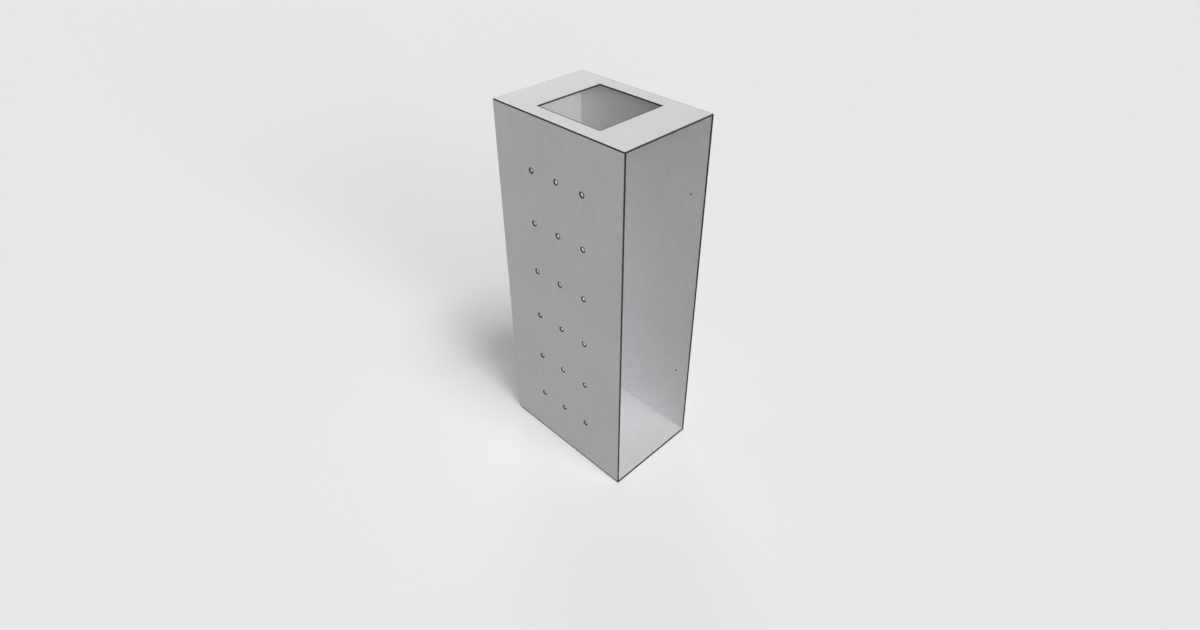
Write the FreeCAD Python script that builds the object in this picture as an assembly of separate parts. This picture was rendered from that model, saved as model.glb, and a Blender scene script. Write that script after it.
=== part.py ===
import FreeCAD, Part
import os
from FreeCAD import Vector

# A tall open-fronted enclosure folded from one steel sheet.
# The blank is a cross: a back panel with four flanges, which become the two side walls, the top and the bottom.
# Lengths are millimetres. X is the width, the open front faces -Y, and Z is up.
# The origin is the middle of the underside.

# Outside sizes and the sheet
width = 200.0
depth = 300.0
height = 700.0
sheet = 2.0

# Folds, and the corners where two folds meet
inside_bend_radius = 1.0
seam_gap = 0.2                # slit between the end of a side wall and the flange that covers it
relief_overrun = 0.5          # how far a corner relief is cut past the bend lines

# Opening in the top, centred
top_opening_width = 140.0
top_opening_depth = 140.0

# Grid of holes in the left wall, spread evenly between its outer rows and columns
grid_hole_diameter = 8.0
grid_columns = 3
grid_rows = 6
grid_column_margin = 90.0     # outer columns to the front edge and to the back
grid_row_margin = 100.0       # outer rows to the underside and to the top

# Pair of fixing holes in the right wall
fixing_hole_diameter = 3.0
fixing_hole_setback = 30.0    # from the front edge
fixing_hole_end_distance = 150.0    # from the underside, and from the top

# Worked out from the sizes above
outside_bend_radius = inside_bend_radius + sheet
front_y = -depth / 2
back_y = depth / 2
left_x = -width / 2
right_x = width / 2
relief_size = outside_bend_radius + relief_overrun
cutter_reach = sheet          # cutters stand this far clear of the faces they go through


def block(low, high):
    # A box between two opposite corners.
    size = high - low
    return Part.makeBox(size.x, size.y, size.z, low)


def back_edges(solid):
    # The four edges round the back face, where the sheet is folded.
    return [edge for edge in solid.Edges
            if all(abs(vertex.Y - back_y) < sheet / 100 for vertex in edge.Vertexes)]


def front_face(solid):
    # The face that is left out of the shell, so the front is open.
    return min(solid.Faces, key=lambda face: face.CenterOfMass.y)


def folded_tray():
    # A back panel with four walls of even thickness, round at the folds inside and out.
    solid = block(Vector(left_x, front_y, 0), Vector(right_x, back_y, height))
    rounded = solid.makeFillet(outside_bend_radius, back_edges(solid))
    return rounded.makeThickness([front_face(rounded)], -sheet, sheet / 1000)


def corner_cuts():
    # At each front-to-back edge the side wall stops short of the flange, which leaves a narrow seam.
    # A square relief at the back end of the seam keeps the two folds apart.
    seam_start = Vector(right_x - sheet - cutter_reach, front_y - cutter_reach, sheet)
    seam_end = Vector(right_x + cutter_reach, back_y - relief_size, sheet + seam_gap)
    relief_start = Vector(right_x - relief_size, back_y - relief_size, -cutter_reach)
    relief_end = Vector(right_x + cutter_reach, back_y + cutter_reach, relief_size)
    lower_right = [block(seam_start, seam_end), block(relief_start, relief_end)]
    middle = Vector(0, 0, height / 2)
    upper_right = [cutter.mirror(middle, Vector(0, 0, 1)) for cutter in lower_right]
    right = lower_right + upper_right
    left = [cutter.mirror(middle, Vector(1, 0, 0)) for cutter in right]
    return right + left


def top_opening():
    # The rectangular opening in the top.
    return block(Vector(-top_opening_width / 2, -top_opening_depth / 2, height - sheet - cutter_reach),
                 Vector(top_opening_width / 2, top_opening_depth / 2, height + cutter_reach))


def spread(first, last, count):
    # Evenly spaced places from first to last.
    step = (last - first) / (count - 1)
    return [first + step * index for index in range(count)]


def wall_hole(outer_x, y, z, diameter):
    # A round hole through a side wall whose outer face is at outer_x.
    inward = 1 if outer_x < 0 else -1
    start = Vector(outer_x - inward * cutter_reach, y, z)
    return Part.makeCylinder(diameter / 2, sheet + 2 * cutter_reach, start, Vector(inward, 0, 0))


def grid_holes():
    # The grid in the left wall.
    columns = spread(front_y + grid_column_margin, back_y - grid_column_margin, grid_columns)
    rows = spread(grid_row_margin, height - grid_row_margin, grid_rows)
    return [wall_hole(left_x, y, z, grid_hole_diameter) for z in rows for y in columns]


def fixing_holes():
    # The pair in the right wall, near the open front.
    y = front_y + fixing_hole_setback
    heights = [fixing_hole_end_distance, height - fixing_hole_end_distance]
    return [wall_hole(right_x, y, z, fixing_hole_diameter) for z in heights]


def enclosure():
    # The folded sheet with its seams, reliefs, opening and holes.
    cutters = corner_cuts() + [top_opening()] + grid_holes() + fixing_holes()
    return folded_tray().cut(cutters).removeSplitter()


os.makedirs("parts", exist_ok=True)
folded_enclosure = enclosure()
folded_enclosure.exportStep("parts/folded_enclosure.step")
print("folded_enclosure:", len(folded_enclosure.Solids), "solid,", round(folded_enclosure.Volume), "mm3")
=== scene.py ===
import math

import bpy
import bmesh
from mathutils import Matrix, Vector
from mathutils.bvhtree import BVHTree


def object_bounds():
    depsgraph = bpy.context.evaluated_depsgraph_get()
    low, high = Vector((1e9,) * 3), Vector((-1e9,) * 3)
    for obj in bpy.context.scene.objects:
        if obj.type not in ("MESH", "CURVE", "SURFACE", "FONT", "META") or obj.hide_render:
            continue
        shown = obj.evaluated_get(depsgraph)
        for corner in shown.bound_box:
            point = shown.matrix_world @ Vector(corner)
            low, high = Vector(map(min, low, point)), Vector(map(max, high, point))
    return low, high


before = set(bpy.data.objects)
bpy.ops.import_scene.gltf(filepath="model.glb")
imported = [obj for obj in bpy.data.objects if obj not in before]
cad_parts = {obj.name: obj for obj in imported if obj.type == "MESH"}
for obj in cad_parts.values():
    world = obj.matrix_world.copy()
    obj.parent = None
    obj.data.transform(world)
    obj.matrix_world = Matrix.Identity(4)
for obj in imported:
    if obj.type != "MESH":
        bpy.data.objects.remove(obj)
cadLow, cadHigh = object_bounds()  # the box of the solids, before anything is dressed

print("frame loaded")


# Small helpers for building node trees
def newMaterial(name):
    material = bpy.data.materials.new(name)
    material.use_nodes = True
    material.node_tree.nodes.clear()
    return material


def addNode(tree, kind, **settings):
    node = tree.nodes.new(kind)
    for key, value in settings.items():
        setattr(node, key, value)
    return node


def feed(tree, sockets, values):
    # Each value is a number, or the output of another node
    for socket, value in zip(sockets, values):
        if isinstance(value, (int, float)):
            socket.default_value = value
        else:
            tree.links.new(value, socket)


def mathNode(tree, operation, *values):
    node = addNode(tree, "ShaderNodeMath", operation=operation)
    feed(tree, node.inputs, values)
    return node.outputs[0]


def combine(tree, x, y, z):
    node = addNode(tree, "ShaderNodeCombineXYZ")
    feed(tree, node.inputs, (x, y, z))
    return node.outputs[0]


def separate(tree, vector):
    node = addNode(tree, "ShaderNodeSeparateXYZ")
    tree.links.new(vector, node.inputs[0])
    return node.outputs


def choose(tree, condition, chosen, otherwise):
    # The first value where the condition is 1, and the second where it is 0
    opposite = mathNode(tree, "SUBTRACT", 1.0, condition)
    return mathNode(tree, "ADD", mathNode(tree, "MULTIPLY", chosen, condition),
                    mathNode(tree, "MULTIPLY", otherwise, opposite))


def mapRange(tree, value, fromLow, fromHigh, toLow, toHigh):
    node = addNode(tree, "ShaderNodeMapRange")
    tree.links.new(value, node.inputs["Value"])
    for name, number in zip(("From Min", "From Max", "To Min", "To Max"), (fromLow, fromHigh, toLow, toHigh)):
        node.inputs[name].default_value = number
    return node.outputs["Result"]


def noiseNode(tree, vector, look):
    node = addNode(tree, "ShaderNodeTexNoise")
    tree.links.new(vector, node.inputs["Vector"])
    node.inputs["Scale"].default_value = 1.0 / look["size"]
    node.inputs["Detail"].default_value = look["detail"]
    node.inputs["Roughness"].default_value = look["roughness"]
    return node.outputs["Fac"]


def variation(tree, noise, share):
    # The noise as a factor that varies round 1, by this share each way
    low, high = 0.25, 0.75     # nearly all of a noise texture's values lie between these
    return mapRange(tree, noise, low, high, 1.0 - share, 1.0 + share)


def shadedBy(tree, colour, factor):
    # The colour made darker or lighter by the factor
    node = addNode(tree, "ShaderNodeVectorMath", operation="SCALE")
    node.inputs[0].default_value = colour
    tree.links.new(factor, node.inputs["Scale"])
    return node.outputs[0]


def bumpNode(tree, height, distance):
    node = addNode(tree, "ShaderNodeBump")
    node.inputs["Distance"].default_value = distance
    tree.links.new(height, node.inputs["Height"])
    return node


def showSurface(tree, shader, kind="ShaderNodeOutputMaterial"):
    output = addNode(tree, kind)
    tree.links.new(shader.outputs[0], output.inputs["Surface"])


# Zinc-coated sheet: rolling grain along the blank, soft clouds, faint patches, waviness and scorched rims.
# Sizes, widths and bumps are metres.
zincSheet = {
    "colour": (0.68, 0.684, 0.694),
    "metallic": 0.22,
    "roughness": 0.67,
    "grain": {
        "size": 0.0011,        # between grain lines
        "length": 0.09,        # how far one line runs
        "detail": 3.0,
        "roughness": 0.65,     # of the noise itself, as in the other patterns
        "tone": 0.055,         # share of the brightness that it changes
        "gloss": 0.12,         # share of the sheet's roughness that it changes
        "bump": 0.000006,
    },
    "cloud": {"size": 0.012, "detail": 4.0, "roughness": 0.6, "tone": 0.045, "gloss": 0.08},
    "patch": {"size": 0.16, "detail": 2.0, "roughness": 0.5, "tone": 0.03},
    "wave": {"size": 0.22, "detail": 1.0, "roughness": 0.5, "bump": 0.00035},
    "scorch": {
        "front": 0.0026,       # the cutting heat darkens the coating this far beside the front edges,
        "opening": 0.0026,     # this far round the opening in the top,
        "seam": 0.0008,        # this far beside the seams,
        "hole": 0.58,          # and round a hole, this share of its radius
        "core": 0.6,           # share of that width that is fully dark
        "tone": 0.05,          # brightness left there
        "ragged": 0.2,         # share of the width that a noise takes away or adds
        "size": 0.004,
        "detail": 3.0,
        "roughness": 0.6,
    },
    "facing": 0.7,             # a wall faces along an axis where its normal has more than this along it
}


# Where the sheet was cut, on its flat walls. A side wall's places are along Y and Z.
cutLines = {
    "sheet": 0.002,            # its thickness
    "opening": (0.14, 0.14),   # the square hole in the top, along X and Y
    "grid": {"middle": (0.0, 0.35), "pitch": (0.06, 0.1), "count": (3, 6), "radius": 0.004},
    "pair": {"middle": (-0.12, 0.35), "pitch": (0.0, 0.4), "count": (1, 2), "radius": 0.0015},
}


def distanceToHoles(tree, y, z, pattern):
    # How far a point of a side wall is from the rim of the nearest hole, in scorch widths
    offsets = []
    for value, middle, pitch, count in zip((y, z), pattern["middle"], pattern["pitch"], pattern["count"]):
        first = middle - pitch * (count - 1) / 2
        offset = mathNode(tree, "SUBTRACT", value, first)
        if count > 1:
            index = mathNode(tree, "ROUND", mathNode(tree, "DIVIDE", offset, pitch))
            index = mathNode(tree, "MAXIMUM", mathNode(tree, "MINIMUM", index, count - 1.0), 0.0)
            offset = mathNode(tree, "SUBTRACT", offset, mathNode(tree, "MULTIPLY", index, pitch))
        offsets.append(offset)
    away = addNode(tree, "ShaderNodeVectorMath", operation="LENGTH")
    tree.links.new(combine(tree, *offsets, 0.0), away.inputs[0])
    fromRim = mathNode(tree, "SUBTRACT", away.outputs["Value"], pattern["radius"])
    return mathNode(tree, "DIVIDE", fromRim, zincSheet["scorch"]["hole"] * pattern["radius"])


def distanceToCut(tree, x, y, z, side, flat, outer):
    # How far a point of the sheet's skin is from the nearest cut line of its own wall, in scorch widths
    cuts, scorch = cutLines, zincSheet["scorch"]
    farAway = 1000.0           # scorch widths, added where a cut isn't on this wall
    middle = (cadLow[2] + cadHigh[2]) / 2
    left = mathNode(tree, "LESS_THAN", x, 0.0)
    right = mathNode(tree, "SUBTRACT", 1.0, left)
    upper = mathNode(tree, "GREATER_THAN", z, middle)
    acrossTop = mathNode(tree, "ABSOLUTE", x)
    alongTop = mathNode(tree, "ABSOLUTE", y)
    upWall = mathNode(tree, "ABSOLUTE", mathNode(tree, "SUBTRACT", z, middle))
    toFront = mathNode(tree, "SUBTRACT", y, cadLow[1])
    toFlangeEnd = mathNode(tree, "SUBTRACT", cadHigh[0], acrossTop)
    toWallEnd = mathNode(tree, "SUBTRACT", cadHigh[2] - middle - cuts["sheet"], upWall)
    toOpening = mathNode(tree, "MAXIMUM", mathNode(tree, "SUBTRACT", acrossTop, cuts["opening"][0] / 2),
                         mathNode(tree, "SUBTRACT", alongTop, cuts["opening"][1] / 2))
    nearest = mathNode(tree, "DIVIDE", toFront, scorch["front"])
    candidates = [
        (mathNode(tree, "DIVIDE", toFlangeEnd, scorch["seam"]), (flat,)),
        (mathNode(tree, "DIVIDE", toWallEnd, scorch["seam"]), (side, outer)),
        (mathNode(tree, "DIVIDE", toOpening, scorch["opening"]), (flat, upper)),
        (distanceToHoles(tree, y, z, cuts["grid"]), (side, left)),
        (distanceToHoles(tree, y, z, cuts["pair"]), (side, right)),
    ]
    for distance, conditions in candidates:
        for condition in conditions:
            elsewhere = mathNode(tree, "SUBTRACT", 1.0, condition)
            distance = mathNode(tree, "ADD", distance, mathNode(tree, "MULTIPLY", elsewhere, farAway))
        nearest = mathNode(tree, "MINIMUM", nearest, distance)
    return nearest


def buildZincSheet():
    s = zincSheet
    material = newMaterial("zincSheet")
    tree = material.node_tree
    place = addNode(tree, "ShaderNodeTexCoord").outputs["Object"]
    x, y, z = separate(tree, place)
    normal = separate(tree, addNode(tree, "ShaderNodeNewGeometry").outputs["True Normal"])
    side = mathNode(tree, "GREATER_THAN", mathNode(tree, "ABSOLUTE", normal["X"]), s["facing"])
    flat = mathNode(tree, "GREATER_THAN", mathNode(tree, "ABSOLUTE", normal["Z"]), s["facing"])
    outer = mathNode(tree, "GREATER_THAN", mathNode(tree, "MULTIPLY", x, normal["X"]), 0.0)

    # Unfolded, the grain runs along Z on the back and side walls and along Y on the top and bottom
    across = choose(tree, side, y, x)
    along = choose(tree, flat, y, z)
    stretched = mathNode(tree, "MULTIPLY", along, s["grain"]["size"] / s["grain"]["length"])
    grain = noiseNode(tree, combine(tree, across, stretched, 0.0), s["grain"])
    cloud = noiseNode(tree, place, s["cloud"])
    patch = noiseNode(tree, place, s["patch"])
    wave = noiseNode(tree, place, s["wave"])

    ragged = variation(tree, noiseNode(tree, place, s["scorch"]), s["scorch"]["ragged"])
    distance = mathNode(tree, "MULTIPLY", distanceToCut(tree, x, y, z, side, flat, outer), ragged)
    scorched = mapRange(tree, distance, s["scorch"]["core"], 1.0, s["scorch"]["tone"], 1.0)
    brightness = mathNode(tree, "MULTIPLY", variation(tree, grain, s["grain"]["tone"]),
                          variation(tree, cloud, s["cloud"]["tone"]))
    brightness = mathNode(tree, "MULTIPLY", brightness, variation(tree, patch, s["patch"]["tone"]))
    brightness = mathNode(tree, "MULTIPLY", brightness, scorched)
    rough = mathNode(tree, "MULTIPLY", variation(tree, grain, s["grain"]["gloss"]),
                     variation(tree, cloud, s["cloud"]["gloss"]))
    waveBump = bumpNode(tree, wave, s["wave"]["bump"])
    grainBump = bumpNode(tree, grain, s["grain"]["bump"])
    tree.links.new(waveBump.outputs["Normal"], grainBump.inputs["Normal"])

    shader = addNode(tree, "ShaderNodeBsdfPrincipled")
    shader.inputs["Metallic"].default_value = s["metallic"]
    tree.links.new(shadedBy(tree, s["colour"], brightness), shader.inputs["Base Color"])
    tree.links.new(mathNode(tree, "MULTIPLY", rough, s["roughness"]), shader.inputs["Roughness"])
    tree.links.new(grainBump.outputs["Normal"], shader.inputs["Normal"])
    showSurface(tree, shader)
    return material


# Cut edges of the sheet: a dark oxide skin with fine drag lines
cutEdge = {
    "colour": (0.016, 0.017, 0.019),
    "metallic": 0.2,
    "roughness": 0.6,
    "specular": 0.25,
    "drag": {"size": 0.0006, "detail": 2.0, "roughness": 0.5, "tone": 0.35, "bump": 0.00004},
    "skinDepth": 0.003,        # a face with less metal than this behind it is the sheet's own skin
    "clear": 0.00001,          # how far behind a face the look for metal starts
}


def buildCutEdge():
    s = cutEdge
    material = newMaterial("cutEdge")
    tree = material.node_tree
    drag = noiseNode(tree, addNode(tree, "ShaderNodeTexCoord").outputs["Object"], s["drag"])
    tone = variation(tree, drag, s["drag"]["tone"])
    bump = bumpNode(tree, drag, s["drag"]["bump"])
    shader = addNode(tree, "ShaderNodeBsdfPrincipled")
    shader.inputs["Metallic"].default_value = s["metallic"]
    shader.inputs["Specular IOR Level"].default_value = s["specular"]
    tree.links.new(shadedBy(tree, s["colour"], tone), shader.inputs["Base Color"])
    tree.links.new(mathNode(tree, "MULTIPLY", tone, s["roughness"]), shader.inputs["Roughness"])
    tree.links.new(bump.outputs["Normal"], shader.inputs["Normal"])
    showSurface(tree, shader)
    return material


def dressEnclosure():
    # A face with only the sheet's thickness behind it is skin, and every other face is a cut edge
    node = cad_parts["folded_enclosure"]
    mesh = node.data
    mesh.materials.clear()
    mesh.materials.append(buildZincSheet())
    mesh.materials.append(buildCutEdge())
    solid = BVHTree.FromPolygons([v.co for v in mesh.vertices], [p.vertices for p in mesh.polygons])
    for polygon in mesh.polygons:
        start = polygon.center - polygon.normal * cutEdge["clear"]
        hit = solid.ray_cast(start, -polygon.normal, cutEdge["skinDepth"])
        polygon.material_index = 0 if hit[0] is not None else 1
    print("enclosure dressed:", sum(p.material_index for p in mesh.polygons), "faces are cut edges")


dressEnclosure()


# Pale floor. Its colour to the eye is lighter than the one that it throws light back with.
studioFloor = {
    "radius": 30.0,
    "segments": 96,
    "drop": 0.0002,            # below the underside, so that the two faces don't fight
    "seen": (0.93, 0.93, 0.93),
    "thrown": (0.20, 0.20, 0.20),
    "lift": 0.082,             # added for the eye alone, so the floor meets the surround with no horizon
}


def cameraSees(tree):
    # 1 for camera, mirror and glass rays, 0 for the light that bounces
    path = addNode(tree, "ShaderNodeLightPath")
    seen = mathNode(tree, "MAXIMUM", path.outputs["Is Camera Ray"], path.outputs["Is Glossy Ray"])
    return mathNode(tree, "MAXIMUM", seen, path.outputs["Is Transmission Ray"])


def mixedColour(tree, factor, low, high):
    node = addNode(tree, "ShaderNodeMix", data_type="RGBA")
    tree.links.new(factor, node.inputs["Factor"])
    colourSockets = [socket for socket in node.inputs if socket.type == "RGBA"]
    for socket, colour in zip(colourSockets, (low, high)):
        socket.default_value = (*colour, 1.0)
    return next(socket for socket in node.outputs if socket.type == "RGBA")


def buildFloor():
    s = studioFloor
    mesh = bpy.data.meshes.new("floor")
    shape = bmesh.new()
    bmesh.ops.create_circle(shape, cap_ends=True, radius=s["radius"], segments=s["segments"])
    shape.to_mesh(mesh)
    shape.free()
    floor = bpy.data.objects.new("floor", mesh)
    bpy.context.scene.collection.objects.link(floor)
    floor.location.z = -s["drop"]
    material = newMaterial("paleFloor")
    tree = material.node_tree
    seen = cameraSees(tree)
    matt = addNode(tree, "ShaderNodeBsdfDiffuse")
    tree.links.new(mixedColour(tree, seen, s["thrown"], s["seen"]), matt.inputs["Color"])
    glow = addNode(tree, "ShaderNodeEmission")
    tree.links.new(mathNode(tree, "MULTIPLY", seen, s["lift"]), glow.inputs["Strength"])
    both = addNode(tree, "ShaderNodeAddShader")
    for socket, shader in zip(both.inputs, (matt, glow)):
        tree.links.new(shader.outputs[0], socket)
    showSurface(tree, both)
    mesh.materials.append(material)
    print("floor laid")


buildFloor()


# Soft studio light: an even surround and broad lamps, of which front and side reach into the open box
studioLight = {
    "seen": (0.80, 0.80, 0.80),        # the surround's colour to the eye,
    "thrown": (0.15, 0.15, 0.152),     # and the one that it throws light with
    "strength": 1.0,
    "lampDistance": 3.0,
    "lamps": {                         # angles are degrees, and azimuth is from the front towards +X
        "front": {"azimuth": -10.0, "elevation": 16.0, "strength": 1.5, "spread": 26.0},
        "side": {"azimuth": -35.0, "elevation": 23.0, "strength": 0.9, "spread": 26.0},
        "high": {"azimuth": 0.0, "elevation": 65.0, "strength": 1.15, "spread": 20.0},
        "back": {"azimuth": 142.0, "elevation": 12.0, "strength": 0.7, "spread": 30.0},
    },
}


def addAimed(name, data, centre, azimuth, elevation, distance):
    # A lamp or a camera that looks at the centre from its azimuth and elevation
    a, e = math.radians(azimuth), math.radians(elevation)
    back = Vector((math.sin(a) * math.cos(e), -math.cos(a) * math.cos(e), math.sin(e)))
    holder = bpy.data.objects.new(name, data)
    bpy.context.scene.collection.objects.link(holder)
    holder.location = Vector(centre) + back * distance
    holder.rotation_mode = "QUATERNION"
    holder.rotation_quaternion = back.to_track_quat("Z", "Y")
    return holder


def lightStudio():
    s = studioLight
    world = bpy.data.worlds.new("surround")
    bpy.context.scene.world = world
    world.use_nodes = True
    tree = world.node_tree
    tree.nodes.clear()
    background = addNode(tree, "ShaderNodeBackground")
    background.inputs["Strength"].default_value = s["strength"]
    colour = mixedColour(tree, cameraSees(tree), s["thrown"], s["seen"])
    tree.links.new(colour, background.inputs["Color"])
    showSurface(tree, background, "ShaderNodeOutputWorld")
    for name, lampLook in s["lamps"].items():
        lamp = bpy.data.lights.new(name, "SUN")
        lamp.energy = lampLook["strength"]
        lamp.angle = math.radians(lampLook["spread"])
        addAimed(name, lamp, (0.0, 0.0, 0.0), lampLook["azimuth"], lampLook["elevation"], s["lampDistance"])
    print("studio lit")


lightStudio()


# The photograph's viewpoint
viewpoint = {
    "lookAt": (0.0, 0.0, 0.35),
    "azimuth": -45.0,
    "elevation": 35.264,
    "distance": 1.3264,
    "lens": 21.174,
    "sensorWidth": 36.0,
    "shiftY": -0.025,
}


def placeCamera():
    s = viewpoint
    data = bpy.data.cameras.new("camera")
    data.lens = s["lens"]
    data.sensor_width = s["sensorWidth"]
    data.shift_y = s["shiftY"]
    camera = addAimed("camera", data, s["lookAt"], s["azimuth"], s["elevation"], s["distance"])
    bpy.context.scene.camera = camera
    bpy.context.scene.view_settings.view_transform = "Standard"
    print("camera placed")


placeCamera()
